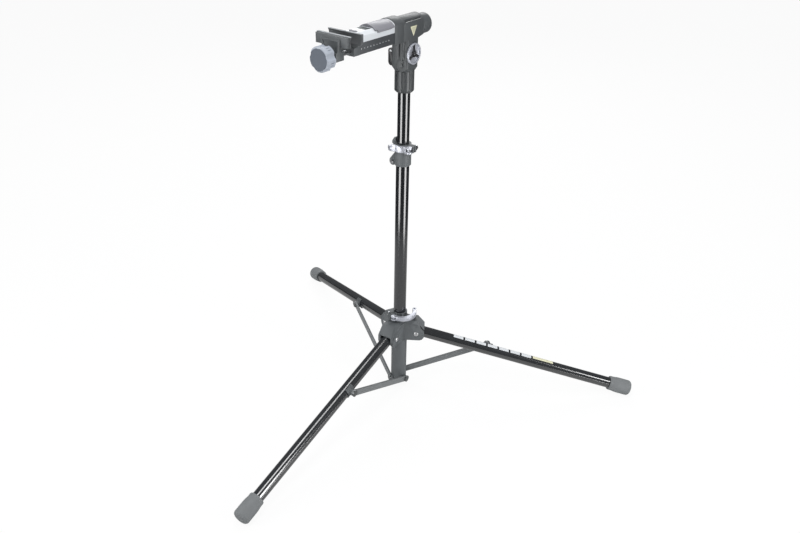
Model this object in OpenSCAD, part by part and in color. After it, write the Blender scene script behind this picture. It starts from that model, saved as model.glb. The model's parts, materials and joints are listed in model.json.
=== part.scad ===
// Folding bike repair stand: a telescoping column on three folding legs, with a
// swivelling clamp arm that carries a weighing scale and a screw-closed pair of jaws.
// Millimetres, +Z up. The origin is the centre of the column's lower end face, and the
// arm points along -Y. The floor lies a little below the origin.

/* [Column] */
// Outer diameter of the main tube
main_d = 32; // [31.5:0.1:34]
// Wall of both column tubes
tube_wall = 1.5; // [1.2:0.1:2.2]
// Length of the main tube
main_len = 668; // [600:5:760]
// Width across the flats of the twelve-sided lower sleeve
sleeve_af = 40.5; // [38:0.5:42]
// Height of the lower sleeve
sleeve_h = 140.5; // [130:0.5:160]
// Thickness of the flange of the bottom plug
plug_t = 4; // [3:0.5:6]
// Depth of the bottom plug inside the tube
plug_depth = 22; // [12:1:40]
// Radial clearance of the upper tube in the main tube
slide_fit = 0.08; // [0.04:0.01:0.1]
// Length of upper tube that stays inside the main tube
mast_inside = 472; // [430:2:490]
// Length of upper tube that shows between the collar and the neck
mast_out = 124.5; // [120:0.5:180]

/* [Legs] */
// Turn of the legs about the column, away from the arm
leg_turn = 4; // [-30:1:30]
// Distance of a leg pivot from the column axis
pivot_r = 45.5; // [45:0.5:52]
// Height of the leg pivots above the underside of the hub
pivot_up = 19.8; // [19:0.2:22]
// Slope of an open leg below the horizontal
leg_slope = 15.1; // [13:0.1:18]
// Outer diameter of a leg tube
leg_d = 29; // [27:0.5:30]
// Wall of a leg tube
leg_wall = 1.6; // [1.2:0.1:2.5]
// Distance from a leg pivot to the end of its foot
leg_len = 606; // [520:2:680]
// Diameter of the pivot pins in the hub
pin_d = 8; // [6:0.5:10]
// Outer diameter of a rubber foot at its end
foot_d = 41; // [38:0.5:42]
// Outer diameter of a rubber foot at its mouth
foot_mouth_d = 36.5; // [34:0.5:38]
// Length of a rubber foot
foot_len = 60; // [45:1:80]
// Radius of the rounded end of a foot
foot_round = 8; // [4:0.5:12]
// Depth of the flat worn on the underside of a foot
foot_flat = 0.6; // [0.3:0.1:1]

/* [Struts] */
// Distance along a leg from its pivot to the strut bolt
strut_at = 198.6; // [180:0.2:215]
// Height of the lower strut bolts above the lower end face
strut_z = 10.5; // [10:0.5:14]
// Width of a strut
strut_w = 16; // [13:0.5:17]
// Thickness of a strut
strut_t = 5; // [4:0.5:6]
// Diameter of the strut bolts
strut_bolt_d = 8; // [6:0.5:9]
// Diameter of the heads of the strut bolts
strut_head_d = 17.5; // [14:0.5:18]
// Thickness of the heads of the strut bolts
strut_head_t = 2.6; // [2:0.2:4]

/* [Hub] */
// Radius of the hub's core
hub_core_r = 24; // [22:0.2:26]
// Height of the hub's core
hub_h = 61; // [55:1:70]
// Thickness of a fork cheek
cheek_t = 7.3; // [5:0.1:9]
// Reach of the fork cheeks from the column axis
cheek_reach = 66.5; // [65:0.5:70]
// Chamfer along the shoulders of the fork hoods
hood_cut = 7; // [3:0.5:9]
// Radius of the split neck above the hub
neck_r = 19.5; // [19:0.1:20]
// Height of the split neck above the hub
hub_neck_h = 17.5; // [17:0.5:22]
// Thickness of the hub's cam lever
hub_lever_t = 11; // [9.5:0.5:11.5]

// Turn of the hub's clamp about the column, from the side opposite the tension wheel
hub_clamp_turn = 70; // [60:1:80]

/* [Collar] */
// Radius of the collar
collar_r = 20; // [19.5:0.1:20.4]
// Height of the collar
collar_h = 55; // [54:0.5:60]
// Length of main tube held in the collar
collar_seat = 37; // [34:0.5:38]
// Thickness of the collar's cam lever
collar_lever_t = 15.5; // [12:0.5:16]
// Diameter of the clamp bolts of the hub and the collar
skewer_d = 5; // [4:0.2:6]

/* [Head] */
// Height of the arm axis above the bottom of the neck sleeve
arm_rise = 143; // [140:0.5:160]
// Outer diameter of the neck sleeve
neck_sleeve_d = 45; // [40:0.5:46]
// Length of the neck sleeve
neck_sleeve_h = 50; // [40:1:52]
// Half width of the head housing
head_half_w = 22.5; // [22:0.5:24]
// Half depth of the neck block
neck_half_d = 21; // [19:0.5:22]
// Distance of the housing's front face from the column axis
head_front = 34.5; // [34:0.5:38]
// Distance of the housing's rear face from the column axis
head_back = 38; // [36:0.5:42]
// Length of the round rear cap
cap_len = 31; // [26:1:40]
// Outer diameter of the round rear cap
cap_d = 45; // [42:0.5:46]
// Diameter of the arm's axle
axle_d = 28; // [24:0.5:29]
// Drop of the cross bolt below the arm axis
bolt_drop = 52.9; // [51:0.1:54]
// Diameter of the cross bolt
cross_d = 7; // [6:0.5:8]
// Outer diameter of the tension ring
ring_d = 47; // [44:0.5:50]
// Length of the lock lever below its pin
lock_len = 37; // [30:1:42]

/* [Arm] */
// Length of the bezel at the root of the arm
bezel_len = 31; // [26:1:36]
// Length of the beam in front of the bezel
beam_len = 134; // [130:1:150]
// Width of the beam
beam_w = 44; // [42:0.5:46]
// Height of the beam
beam_h = 23.5; // [22:0.5:26]
// Drop of the beam's underside below the arm axis
beam_drop = 19.5; // [19:0.5:22]
// Height of the top of the scale housing above the arm axis
scale_top = 24.5; // [23:0.5:26]
// Wall of the beam and of the scale housing
shell_wall = 2; // [1.8:0.1:2.2]

/* [Jaws] */
// Radius of the tube that the jaw pads are hollowed for
grip_r = 17; // [16:0.5:20]
// Height of the jaw pads
pad_h = 22; // [20:0.5:24]
// Length of the jaw pads
pad_len = 87; // [70:1:100]
// Thickness of the jaw pads at the bottom of the hollow
pad_web = 2.5; // [2:0.5:5]
// Height of the jaws' centre above the arm axis
grip_z = 19; // [18:0.5:22]
// Distance from the beam's front end to the jaws' centre
grip_out = 18; // [17:0.5:20]
// Distance from the beam's front end to the moving jaw at rest
jaw_out = 27.5; // [26:0.5:30]
// Thickness of the plates that carry the pads
plate_t = 5; // [4:0.5:6]
// Diameter of the guide rods
rod_d = 6; // [5:0.5:6.5]
// Distance of a guide rod from the screw
rod_off = 11; // [10:0.5:13]
// Diameter of the clamp screw
screw_d = 7; // [6:0.5:8]
// Drop of the screw below the arm axis
screw_drop = 12.5; // [11.8:0.1:12.6]
// Radius of the knob over its lobes
knob_r = 26; // [24:0.5:30]
// Length of the knob
knob_len = 24; // [18:1:32]
// Number of lobes on the knob
knob_lobes = 5; // [4:1:8]

/* [Hidden] */
$fn = 48;
// Radial clearance of a running fit
run_fit = 0.05;
// Clearance between pieces that are fixed to each other
seat_fit = 0.1;
// Clearance between pieces that move past each other
pass_gap = 0.3;
// Width of a clamping slit
slit_w = 2;

main_r = main_d / 2;
main_bore_r = main_r - tube_wall;
mast_r = main_bore_r - slide_fit;
mast_bore_r = mast_r - tube_wall;
main_bottom = plug_t;
main_top = main_bottom + main_len;
sleeve_r = sleeve_af / 2;
sleeve_top = main_bottom + sleeve_h;

leg_r = leg_d / 2;
hub_z = sleeve_top + pass_gap;
hub_top = hub_z + hub_h;
hub_neck_top = hub_top + hub_neck_h;
pivot_z = hub_z + pivot_up;
fork_half = leg_r + 0.8;
hub_half = fork_half + cheek_t;
eye_r = leg_r - 0.2;
tube_start = eye_r;
spigot_len = 24;
leg_z = [0, 1, 2];

// A foot's lowest point lies on the rounding of its end
foot_r = foot_d / 2;
foot_low = (leg_len - foot_round) * sin(leg_slope)
    + (foot_r - foot_round) * cos(leg_slope) + foot_round;
floor_z = pivot_z - foot_low + foot_flat;

strut_y = sleeve_r + pass_gap;
bolt_r = strut_bolt_d / 2;
head_gap = 0.2;
bolt_r_out = pivot_r + strut_at * cos(leg_slope);
bolt_z_out = pivot_z - strut_at * sin(leg_slope);
strut_rise = atan2(bolt_z_out - strut_z, bolt_r_out);
strut_len = norm([bolt_r_out, bolt_z_out - strut_z]);
bracket_len = 24;
bracket_t = 2.5;
bracket_y = 8.5;

// Split ears, measured from the edge of the round part that they close
ear_half = 6.5;
ear_x = 8;
ear_reach = ear_x + 6;
cam_r = 7;
cam_y = -(ear_half + cam_r + 0.4);
cam_slot_h = skewer_d + 0.8;
hub_ear_x = neck_r + ear_x;
hub_lever_z = hub_top + 5;
// The hub lever's arc is set off the column axis
hub_arc_at = [5, 5];
hub_arc_r = 28;
hub_arc_t = 9;
hub_cam_turn = 180 + hub_clamp_turn + atan2(-cam_y, hub_ear_x);
hub_cam_at = norm([hub_ear_x, cam_y]) * [cos(hub_cam_turn), sin(hub_cam_turn)];
hub_arc_from = 363 + atan2(hub_cam_at.y - hub_arc_at.y, hub_cam_at.x - hub_arc_at.x);
hub_arc_to = 413;

collar_z = main_top - collar_seat;
collar_top = collar_z + collar_h;
collar_lever_z = collar_top - collar_lever_t - 0.5;
collar_ear_x = collar_r + ear_x;
collar_arc_t = 5;
collar_arc_from = 245;
collar_arc_to = 330;
low_ear_half = 9;
low_ear_r = 9;
collar_bolt_z = collar_z + 5;
collar_bolt_x = -collar_r - 4;
tip = [-18, -27.5];
tip_r = 6.5;

neck_z = collar_top + mast_out;
neck_top = neck_z + neck_sleeve_h;
arm_z = neck_z + arm_rise;
mast_bottom = main_top - mast_inside;
mast_top = arm_z - bolt_drop - cross_d / 2 - 2;
bush_t = 8;
bush_spigot = 24;

axle_r = axle_d / 2;
bush_wall = 3;
bush_r = axle_r + run_fit + bush_wall;
bush_len = 15;
head_arc_r = 28;
head_low = 21.5;
bezel_half_w = head_half_w + 1;
bezel_arc_r = 32;
spin_gap = 0.5;
bezel_back = -head_front - spin_gap;
bezel_front = bezel_back - bezel_len;
bezel_low = head_low + 1.5;
cap_r = cap_d / 2;
cap_wall = 3;
cap_end = head_back + cap_len;
axle_end = cap_end - cap_wall - 8;
lock_x = -head_half_w - 7;
lock_cam_r = 7;
lock_half_y = 14.5;
neck_screw_r = 3;
neck_screw_x = 8.5;
neck_screw_in = 4;
neck_screw_up = [14, 24];
ring_r = ring_d / 2;
ring_depth = 4.5;
ring_x = head_half_w + pass_gap;

beam_front = bezel_front - beam_len;
beam_half = beam_w / 2;
beam_top = beam_h - beam_drop;
grip_y = beam_front - grip_out;
lip_y = sqrt(grip_r * grip_r - pad_h * pad_h / 4);
pad_back = grip_r + pad_web;
plate_back = pad_back + plate_t;
scale_front = grip_y + plate_back + seat_fit;
scale_low = beam_top + 0.2;
scale_shoulder = scale_top - 7;
scale_shelf = scale_top - 8.5;
bay = [28, 56];
bay_back = bezel_front - 8;
battery_d = 10.5;
battery_len = 44.5;
bay_floor = 1.5;
lid_t = 2;
lid_half = beam_half + pass_gap + lid_t;
lid_len = 62;
lid_back = bezel_front - 3.5;
lid_top = scale_top + 6.5;
lid_arc_r = lid_top;
lid_low = scale_low + 11;
lid_wing = [8, 48];
display = [26, 19];
display_y = scale_front + 50;
display_t = 1.2;
button_y = scale_front + 18;
button = [20, 8];
button_travel = 1.2;
board_t = 1.6;
board_drop = 7;
board = [36, 50];

screw_z = -screw_drop;
rod_r = rod_d / 2;
screw_r = screw_d / 2;
block_len = 20;
block_half = beam_half - shell_wall - seat_fit;
block_low = -beam_drop + shell_wall + seat_fit;
// Top of the guide block, which carries the fixed jaw
block_top = -3;
carriage_back = beam_front - jaw_out;
carriage_len = 24;
carriage_front = carriage_back - carriage_len;
carriage_half = 19.5;
rod_inset = 36;
screw_inset = 56;
rod_back = bezel_front - rod_inset;
screw_back = bezel_front - screw_inset;
knob_back = carriage_front - 6;
knob_front = knob_back - knob_len;

black_metal = "#16181b";
dark_plastic = "#55595c";
grey_plastic = "#6d7275";
silver = "#cfd3da";
rubber_grey = "#606568";

// ---- helpers ----

module x_rod(r, x0, x1) {
    translate([x0, 0, 0])
        rotate([0, 90, 0])
            cylinder(r = r, h = x1 - x0);
}

module y_rod(r, y0, y1) {
    translate([0, y1, 0])
        rotate([90, 0, 0])
            cylinder(r = r, h = y1 - y0);
}

// A flat shape given as (x, z), drawn out along Y
module along_y(y0, y1) {
    translate([0, y1, 0])
        rotate([90, 0, 0])
            linear_extrude(y1 - y0)
                children();
}

// A flat shape given as (y, z), drawn out along X
module along_x(x0, x1) {
    translate([x0, 0, 0])
        rotate([90, 0, 90])
            linear_extrude(x1 - x0)
                children();
}

module pipe(r_out, r_in, h) {
    difference() {
        cylinder(r = r_out, h = h);
        translate([0, 0, -1])
            cylinder(r = r_in, h = h + 2);
    }
}

// A rectangle from one corner to the other with round corners
module round_rect(low, high, r) {
    translate([low.x + r, low.y])
        square([high.x - low.x - 2 * r, high.y - low.y]);
    translate([low.x, low.y + r])
        square([high.x - low.x, high.y - low.y - 2 * r]);
    for (x = [low.x + r, high.x - r], y = [low.y + r, high.y - r])
        translate([x, y])
            circle(r);
}

// A ring sector between two angles
module arc_band(r, t, from, to) {
    steps = 12;
    far = 2 * (r + t);
    difference() {
        intersection() {
            circle(r + t);
            polygon([
                [0, 0],
                for (i = [0:steps]) far * [cos(from + (to - from) * i / steps),
                                           sin(from + (to - from) * i / steps)],
            ]);
        }
        circle(r);
    }
}

// Leg number i counts anticlockwise from the front one
module at_leg(i) {
    rotate([0, 0, leg_turn - 90 + 120 * i])
        children();
}

// The leg's own frame: origin on its pivot, +X along the leg towards the foot
module on_leg(i) {
    at_leg(i)
        translate([pivot_r, 0, pivot_z])
            rotate([0, leg_slope, 0])
                children();
}

// The strut's own frame: origin on its lower bolt, +X towards the leg
module on_strut(i) {
    at_leg(i)
        translate([0, strut_y, strut_z])
            rotate([0, -strut_rise, 0])
                children();
}

module on_arm() {
    translate([0, 0, arm_z])
        children();
}

// ---- column ----

module main_tube() {
    color(black_metal)
        translate([0, 0, main_bottom])
            pipe(main_r, main_bore_r, main_len);
}

module lower_sleeve() {
    color(dark_plastic)
        difference() {
            translate([0, 0, main_bottom])
                rotate([0, 0, leg_turn + 15])
                    cylinder(r = sleeve_r / cos(15), h = sleeve_h, $fn = 12);
            translate([0, 0, main_bottom - 1])
                cylinder(r = main_r + seat_fit, h = sleeve_h + 2);
            for (i = leg_z)
                at_leg(i)
                    translate([0, 0, strut_z])
                        y_rod(bolt_r, 0, strut_y);
        }
}

module bottom_plug() {
    color(dark_plastic) {
        cylinder(r = sleeve_r - 0.6, h = plug_t);
        translate([0, 0, plug_t])
            pipe(main_bore_r - seat_fit, main_bore_r - 4, plug_depth);
    }
}

module strut_pins() {
    color(silver)
        for (i = leg_z)
            at_leg(i)
                translate([0, 0, strut_z]) {
                    y_rod(bolt_r, main_r + 2 * seat_fit, strut_y + strut_t + head_gap);
                    y_rod(strut_head_d / 2, strut_y + strut_t + head_gap,
                        strut_y + strut_t + head_gap + strut_head_t);
                }
}

// ---- collar at the top of the main tube ----

// Two ears either side of a slit, pointing along +X
module split_ears(z0, z1, inner_r, reach) {
    translate([inner_r, -ear_half, z0])
        cube([reach - inner_r, 2 * ear_half, z1 - z0]);
}

// Outline of the lower clamp's ears: the bolt is at the origin
module low_ear() {
    circle(low_ear_r);
    polygon([
        [-low_ear_r, 0],
        [-low_ear_r + 1, 6],
        [4, 22],
        [-collar_bolt_x - main_r, 22],
        [-collar_bolt_x - main_r, -low_ear_r + 4],
        [0, -low_ear_r],
    ]);
}

module collar_body() {
    stop_h = 11;
    color(grey_plastic)
        difference() {
            union() {
                translate([0, 0, collar_z + 2])
                    cylinder(r = collar_r, h = collar_h - 2);
                translate([0, 0, collar_z])
                    cylinder(r1 = collar_r - 2, r2 = collar_r, h = 2);
                split_ears(collar_lever_z, collar_top, main_r, collar_r + ear_reach);
                translate([collar_bolt_x, 0, collar_bolt_z])
                    along_y(-low_ear_half, low_ear_half)
                        low_ear();
                // Raised stop behind the lever's tip
                along_y(-7, 7)
                    polygon([
                        [-mast_r - 2.5, collar_top - 3],
                        [-mast_r - 2.5, collar_top + stop_h],
                        [-mast_r - 6.5, collar_top + stop_h],
                        [-collar_r - 7, collar_top + 2],
                        [-collar_r - 7, collar_top - 4],
                        [-collar_r + 1, collar_top - 10],
                    ]);
            }
            translate([0, 0, collar_z - 1])
                cylinder(r = main_r + seat_fit, h = collar_seat + 1);
            translate([0, 0, collar_z - 1])
                cylinder(r = mast_r + run_fit, h = collar_h + 2);
            // Slits
            translate([0, -slit_w / 2, main_top + 2])
                cube([collar_r + ear_reach + 1, slit_w, collar_h]);
            translate([collar_bolt_x - low_ear_r - 1, -slit_w / 2, collar_z - low_ear_r])
                cube([low_ear_r + 1 - collar_bolt_x, slit_w, collar_seat]);
            // Bolt holes
            translate([collar_ear_x, 0, collar_lever_z + collar_lever_t / 2])
                y_rod(skewer_d / 2, -ear_half - 1, ear_half + 1);
            translate([collar_bolt_x, 0, collar_bolt_z])
                y_rod(skewer_d / 2, -low_ear_half - 1, low_ear_half + 1);
        }
}

module collar_bolt() {
    color(silver)
        translate([collar_bolt_x, 0, collar_bolt_z]) {
            y_rod(skewer_d / 2, -low_ear_half - 0.1, low_ear_half + 5);
            y_rod(4.5, -low_ear_half - 3.5, -low_ear_half);
            along_y(low_ear_half, low_ear_half + 4)
                circle(5, $fn = 6);
        }
}

// A clamp bolt along Y with its nut at +Y and its cross pin at -Y
module clamp_skewer(washer_t) {
    y_rod(skewer_d / 2, cam_y - 2.5, ear_half + washer_t + 6);
    y_rod(5, ear_half + washer_t, ear_half + washer_t + 5);
}

module cam_pin(h) {
    translate([0, cam_y, -h / 2])
        cylinder(r = 2.5, h = h);
}

module collar_skewer() {
    color(silver)
        translate([collar_ear_x, 0, collar_lever_z + collar_lever_t / 2]) {
            clamp_skewer(4);
            cam_pin(collar_lever_t - 1);
        }
}

module collar_washer() {
    color("#202326")
        translate([collar_ear_x, 0, collar_lever_z + collar_lever_t / 2])
            difference() {
                y_rod(7, ear_half, ear_half + 4);
                y_rod(skewer_d / 2, ear_half - 1, ear_half + 5);
            }
}

// Cuts for the cross pin and for the bolt that enters a cam lever
module cam_cuts(h) {
    translate([0, 0, -1])
        cylinder(r = 2.5 + run_fit, h = h + 2);
    translate([0, 0, (h - cam_slot_h) / 2])
        cylinder(r = cam_r + 0.5, h = cam_slot_h);
}

module collar_lever() {
    inner = collar_r + 0.5;
    outer = inner + collar_arc_t;
    lean = atan2(tip.y, tip.x);
    color(silver)
        translate([0, 0, collar_lever_z])
            difference() {
                union() {
                    linear_extrude(collar_lever_t) {
                        arc_band(inner - 1, collar_arc_t + 1, collar_arc_from, collar_arc_to);
                        translate([collar_ear_x, cam_y])
                            circle(cam_r);
                        polygon([
                            [collar_ear_x, cam_y - cam_r],
                            [collar_ear_x - 2, cam_y + 2],
                            (inner - 0.5) * [cos(collar_arc_to), sin(collar_arc_to)],
                            (inner - 0.5) * [cos(collar_arc_to - 20), sin(collar_arc_to - 20)],
                            (outer - 0.3) * [cos(collar_arc_to - 20), sin(collar_arc_to - 20)],
                        ]);
                        // Straight end of the band
                        polygon([
                            (inner - 0.5) * [cos(collar_arc_from + 15), sin(collar_arc_from + 15)],
                            (inner - 0.5) * [cos(collar_arc_from), sin(collar_arc_from)],
                            tip + [1, 3],
                            tip + [1, -2],
                            (outer - 0.3) * [cos(collar_arc_from + 15), sin(collar_arc_from + 15)],
                        ]);
                    }
                    translate([tip.x, tip.y, collar_lever_t / 2])
                        rotate([0, 0, lean + 90])
                            y_rod(tip_r, -2.5, 2.5);
                }
                translate([collar_ear_x, cam_y, 0])
                    cam_cuts(collar_lever_t);
                translate([tip.x, tip.y, collar_lever_t / 2])
                    rotate([0, 0, lean + 90])
                        y_rod(2.5, -4, 4);
                translate([0, 0, -1])
                    cylinder(r = inner, h = collar_lever_t + 2);
            }
}

// ---- hub that slides on the main tube ----

// Cross-section of a fork at one distance from the column, with chamfered shoulders
module fork_plate(r, z0, z1, cut) {
    translate([r, 0, 0])
        rotate([90, 0, 90])
            linear_extrude(0.01)
                polygon([
                    [-hub_half, z0],
                    [hub_half, z0],
                    [hub_half, z1 - cut],
                    [hub_half - cut, z1],
                    [cut - hub_half, z1],
                    [-hub_half, z1 - cut],
                ]);
}

module fork_body() {
    corner = 14;
    hull() {
        fork_plate(main_r - 6, 0.5, hub_h - 2, hood_cut);
        fork_plate(cheek_reach - 18, 0.5, hub_h - 5, hood_cut);
        fork_plate(cheek_reach - 5, corner, pivot_up + 19, hood_cut);
        fork_plate(cheek_reach - 0.01, corner, pivot_up + 14, hood_cut - 2);
        translate([cheek_reach - corner, 0, corner + 0.5])
            y_rod(corner, -hub_half, hub_half, $fn = 32);
    }
}

// The space that a leg swings through, in the fork's plane
module fork_slot() {
    difference() {
        translate([pivot_r, pivot_up])
            rotate(-leg_slope)
                translate([-40, -200])
                    square([200, 200 + leg_r + 1.3]);
        translate([-100, -300])
            square([100 + pivot_r - eye_r - 2, 600]);
    }
}

// The hub's clamp frame: +X runs out along the ears, -Y is the side of the cam lever
module on_hub_clamp(z) {
    translate([0, 0, z])
        rotate([0, 0, 180 + hub_clamp_turn])
            mirror([0, 1, 0])
                children();
}

module hub_body() {
    color(dark_plastic)
        difference() {
            union() {
                translate([0, 0, hub_z])
                    cylinder(r = hub_core_r, h = hub_h);
                translate([0, 0, hub_top - 1])
                    cylinder(r = neck_r, h = hub_neck_h + 1);
                on_hub_clamp(0)
                    split_ears(hub_top - 1, hub_neck_top - 0.5, main_r, neck_r + ear_reach);
                for (i = leg_z)
                    at_leg(i)
                        translate([0, 0, hub_z])
                            difference() {
                                fork_body();
                                along_y(-fork_half, fork_half)
                                    fork_slot();
                            }
            }
            translate([0, 0, hub_z - 1])
                cylinder(r = main_r + run_fit, h = hub_h + hub_neck_h + 2);
            for (i = leg_z)
                at_leg(i)
                    translate([pivot_r, 0, pivot_z])
                        y_rod(pin_d / 2, -hub_half - 1, hub_half + 1);
            on_hub_clamp(0) {
                translate([main_r - 2, -slit_w / 2, hub_top + 1])
                    cube([ear_reach + 6, slit_w, hub_neck_h + 1]);
                translate([hub_ear_x, 0, hub_lever_z + hub_lever_t / 2])
                    y_rod(skewer_d / 2, -ear_half - 1, ear_half + 1);
            }
        }
}

module hub_pins() {
    color(silver)
        for (i = leg_z)
            at_leg(i)
                translate([pivot_r, 0, pivot_z])
                    y_rod(pin_d / 2, -hub_half - 1.5, hub_half + 1.5);
}

module hub_skewer() {
    color(silver)
        on_hub_clamp(hub_lever_z + hub_lever_t / 2)
            translate([hub_ear_x, 0, 0]) {
                clamp_skewer(0);
                cam_pin(hub_lever_t - 1);
            }
}

module hub_lever() {
    end_r = hub_arc_t / 2 + 0.5;
    color(silver)
        difference() {
            translate([0, 0, hub_lever_z])
                linear_extrude(hub_lever_t) {
                    translate(hub_arc_at) {
                        arc_band(hub_arc_r, hub_arc_t, hub_arc_from, hub_arc_to);
                        rotate(hub_arc_to)
                            translate([hub_arc_r + hub_arc_t / 2 + 1, 2])
                                circle(end_r);
                    }
                    translate(hub_cam_at)
                        circle(cam_r);
                }
            on_hub_clamp(hub_lever_z)
                translate([hub_ear_x, cam_y, 0])
                    cam_cuts(hub_lever_t);
            translate([hub_arc_at.x, hub_arc_at.y, hub_lever_z + hub_lever_t - 2])
                rotate([0, 0, hub_arc_to])
                    translate([hub_arc_r + hub_arc_t / 2 + 1, 2, 0])
                        cylinder(r = end_r - 2, h = 3);
        }
}

// ---- legs ----

module leg_tube(i) {
    color(black_metal)
        on_leg(i)
            difference() {
                x_rod(leg_r, tube_start, leg_len - foot_round);
                x_rod(leg_r - leg_wall, tube_start - 1, leg_len - foot_round + 1);
            }
}

module leg_eye(i) {
    color(dark_plastic)
        on_leg(i)
            difference() {
                union() {
                    sphere(r = eye_r);
                    x_rod(eye_r, 0, tube_start);
                    x_rod(leg_r - leg_wall - seat_fit, tube_start - 1, tube_start + spigot_len);
                }
                y_rod(pin_d / 2 + run_fit, -eye_r - 1, eye_r + 1);
            }
}

module foot(i) {
    color(rubber_grey)
        difference() {
            on_leg(i)
                rotate([0, 90, 0])
                    translate([0, 0, leg_len - foot_len])
                        difference() {
                            rotate_extrude()
                                difference() {
                                    foot_half();
                                    translate([-foot_r, -1])
                                        square([foot_r, foot_len + 2]);
                                }
                            translate([0, 0, -1])
                                cylinder(r = leg_r + seat_fit, h = foot_len - foot_round + 1);
                        }
            translate([-leg_len - pivot_r * 2, -leg_len - pivot_r * 2, floor_z - 50])
                cube([2 * leg_len + pivot_r * 4, 2 * leg_len + pivot_r * 4, 50]);
        }
}

// Half outline of a foot: radius and distance from its mouth
module foot_half() {
    polygon([
        [0, 0],
        [foot_mouth_d / 2 - 1, 0],
        [foot_mouth_d / 2, 1],
        [foot_mouth_d / 2, 6],
        [foot_r, 20],
        [foot_r, foot_len - foot_round],
        [foot_r - foot_round, foot_len],
        [0, foot_len],
    ]);
    translate([foot_r - foot_round, foot_len - foot_round])
        circle(foot_round);
}

module leg_bracket(i) {
    color(dark_plastic)
        on_leg(i)
            difference() {
                union() {
                    intersection() {
                        x_rod(leg_r + bracket_t, strut_at - bracket_len / 2,
                            strut_at + bracket_len / 2);
                        translate([strut_at - bracket_len, bracket_y, -strut_y])
                            cube([2 * bracket_len, strut_y, 2 * strut_y]);
                    }
                    translate([strut_at, 0, 0])
                        y_rod(strut_w / 2, 0, strut_y - pass_gap);
                }
                x_rod(leg_r + seat_fit, strut_at - bracket_len, strut_at + bracket_len);
            }
}

module strut(i) {
    color(grey_plastic)
        on_strut(i)
            along_y(0, strut_t)
                difference() {
                    union() {
                        translate([0, -strut_w / 2])
                            square([strut_len, strut_w]);
                        for (x = [0, strut_len])
                            translate([x, 0])
                                circle(strut_w / 2);
                    }
                    circle(bolt_r + run_fit);
                    translate([strut_len, 0])
                        circle(bolt_r);
                }
}

module strut_bolt(i) {
    color(silver)
        on_strut(i)
            translate([strut_len, 0, 0]) {
                y_rod(bolt_r, 0, strut_t);
                y_rod(strut_head_d / 2, strut_t, strut_t + strut_head_t);
            }
}

// ---- mast ----

module slide_bush() {
    color("#e6e6e0")
        translate([0, 0, mast_bottom - pass_gap - bush_t]) {
            cylinder(r = main_bore_r - run_fit, h = bush_t);
            cylinder(r = mast_bore_r - run_fit, h = bush_t + pass_gap + bush_spigot);
        }
}

module upper_tube() {
    color(black_metal)
        translate([0, 0, mast_bottom])
            pipe(mast_r, mast_bore_r, mast_top - mast_bottom);
}

module neck_sleeve() {
    chamfer = 4;
    r = neck_sleeve_d / 2;
    color(dark_plastic)
        translate([0, 0, neck_z])
            rotate_extrude()
                polygon([
                    [mast_r + seat_fit, 0],
                    [r - chamfer, 0],
                    [r, chamfer],
                    [r, neck_sleeve_h],
                    [mast_r + seat_fit, neck_sleeve_h],
                ]);
}

module head_outline() {
    intersection() {
        translate([-head_half_w, -head_low])
            square([2 * head_half_w, head_low + head_arc_r]);
        circle(r = head_arc_r, $fn = 96);
    }
    translate([-head_half_w, -head_low])
        square([2 * head_half_w, head_low]);
}

module head_side() {
    polygon([
        [-head_front, -head_low],
        [15, -head_low],
        [head_back - 1, 5 - head_low],
        [head_back, 8 - head_low],
        [head_back, head_arc_r],
        [-head_front, head_arc_r],
    ]);
}

module head_housing() {
    block_low = neck_top - arm_z;
    rib_r = 6;
    color(dark_plastic)
        on_arm()
            difference() {
                union() {
                    intersection() {
                        along_y(-head_front, head_back)
                            head_outline();
                        along_x(-head_half_w, head_half_w)
                            head_side();
                    }
                    intersection() {
                        translate([0, 0, block_low])
                            linear_extrude(1 - head_low - block_low)
                                round_rect([-head_half_w, -neck_half_d],
                                    [head_half_w, neck_half_d], 5);
                        union() {
                            translate([0, 0, block_low])
                                cylinder(r1 = neck_sleeve_d / 2, r2 = neck_sleeve_d / 2 + 10,
                                    h = 14);
                            translate([0, 0, block_low + 14])
                                cylinder(r = 40, h = arm_rise);
                        }
                    }
                    // Rib on the neck's front face
                    translate([rib_r + 2.5, -neck_half_d, block_low + 29])
                        cylinder(r = rib_r, h = -head_low - block_low - 30);
                }
                y_rod(bush_r, -head_front - 1, head_back + 1);
                // Seat of the upper tube
                translate([0, 0, block_low - 1])
                    cylinder(r = mast_r + seat_fit, h = mast_top - neck_top + 1.5);
                // Slit that lets the cross bolt close the bore on the bushes
                translate([-slit_w / 2, -head_front - 1, block_low + 34])
                    cube([slit_w, head_front + head_back + 2, -block_low - 34]);
                translate([0, 0, -bolt_drop])
                    x_rod(cross_d / 2, -head_half_w - 1, head_half_w + 1);
                // Holes of the two neck screws
                for (z = neck_screw_up)
                    translate([neck_screw_x, -neck_half_d, block_low + z])
                        y_rod(neck_screw_r + seat_fit, -3, neck_screw_in);
                // Groove along the shoulder
                translate([head_half_w - 6.5, 8 - head_front, head_low - 5])
                    cube([4, head_front + head_back - 16, 12]);
            }
}

module rear_cap() {
    color(dark_plastic)
        on_arm()
            difference() {
                y_rod(cap_r, head_back + seat_fit, cap_end);
                y_rod(cap_r - cap_wall, head_back - 1, cap_end - cap_wall);
            }
}

module axle_bushes() {
    color("#b8b29a")
        on_arm()
            for (y = [-head_front + 1, head_back - 1 - bush_len])
                difference() {
                    y_rod(bush_r, y, y + bush_len);
                    y_rod(axle_r + run_fit, y - 1, y + bush_len + 1);
                }
}

module cross_bolt() {
    color(silver)
        on_arm()
            translate([0, 0, -bolt_drop]) {
                x_rod(cross_d / 2, lock_x, ring_x + ring_depth + 1);
                translate([lock_x, 0, 0]) {
                    y_rod(5, -3.9, 3.9);
                    y_rod(2.8, 0.6 - lock_half_y, lock_half_y - 0.6);
                }
            }
}

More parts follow.
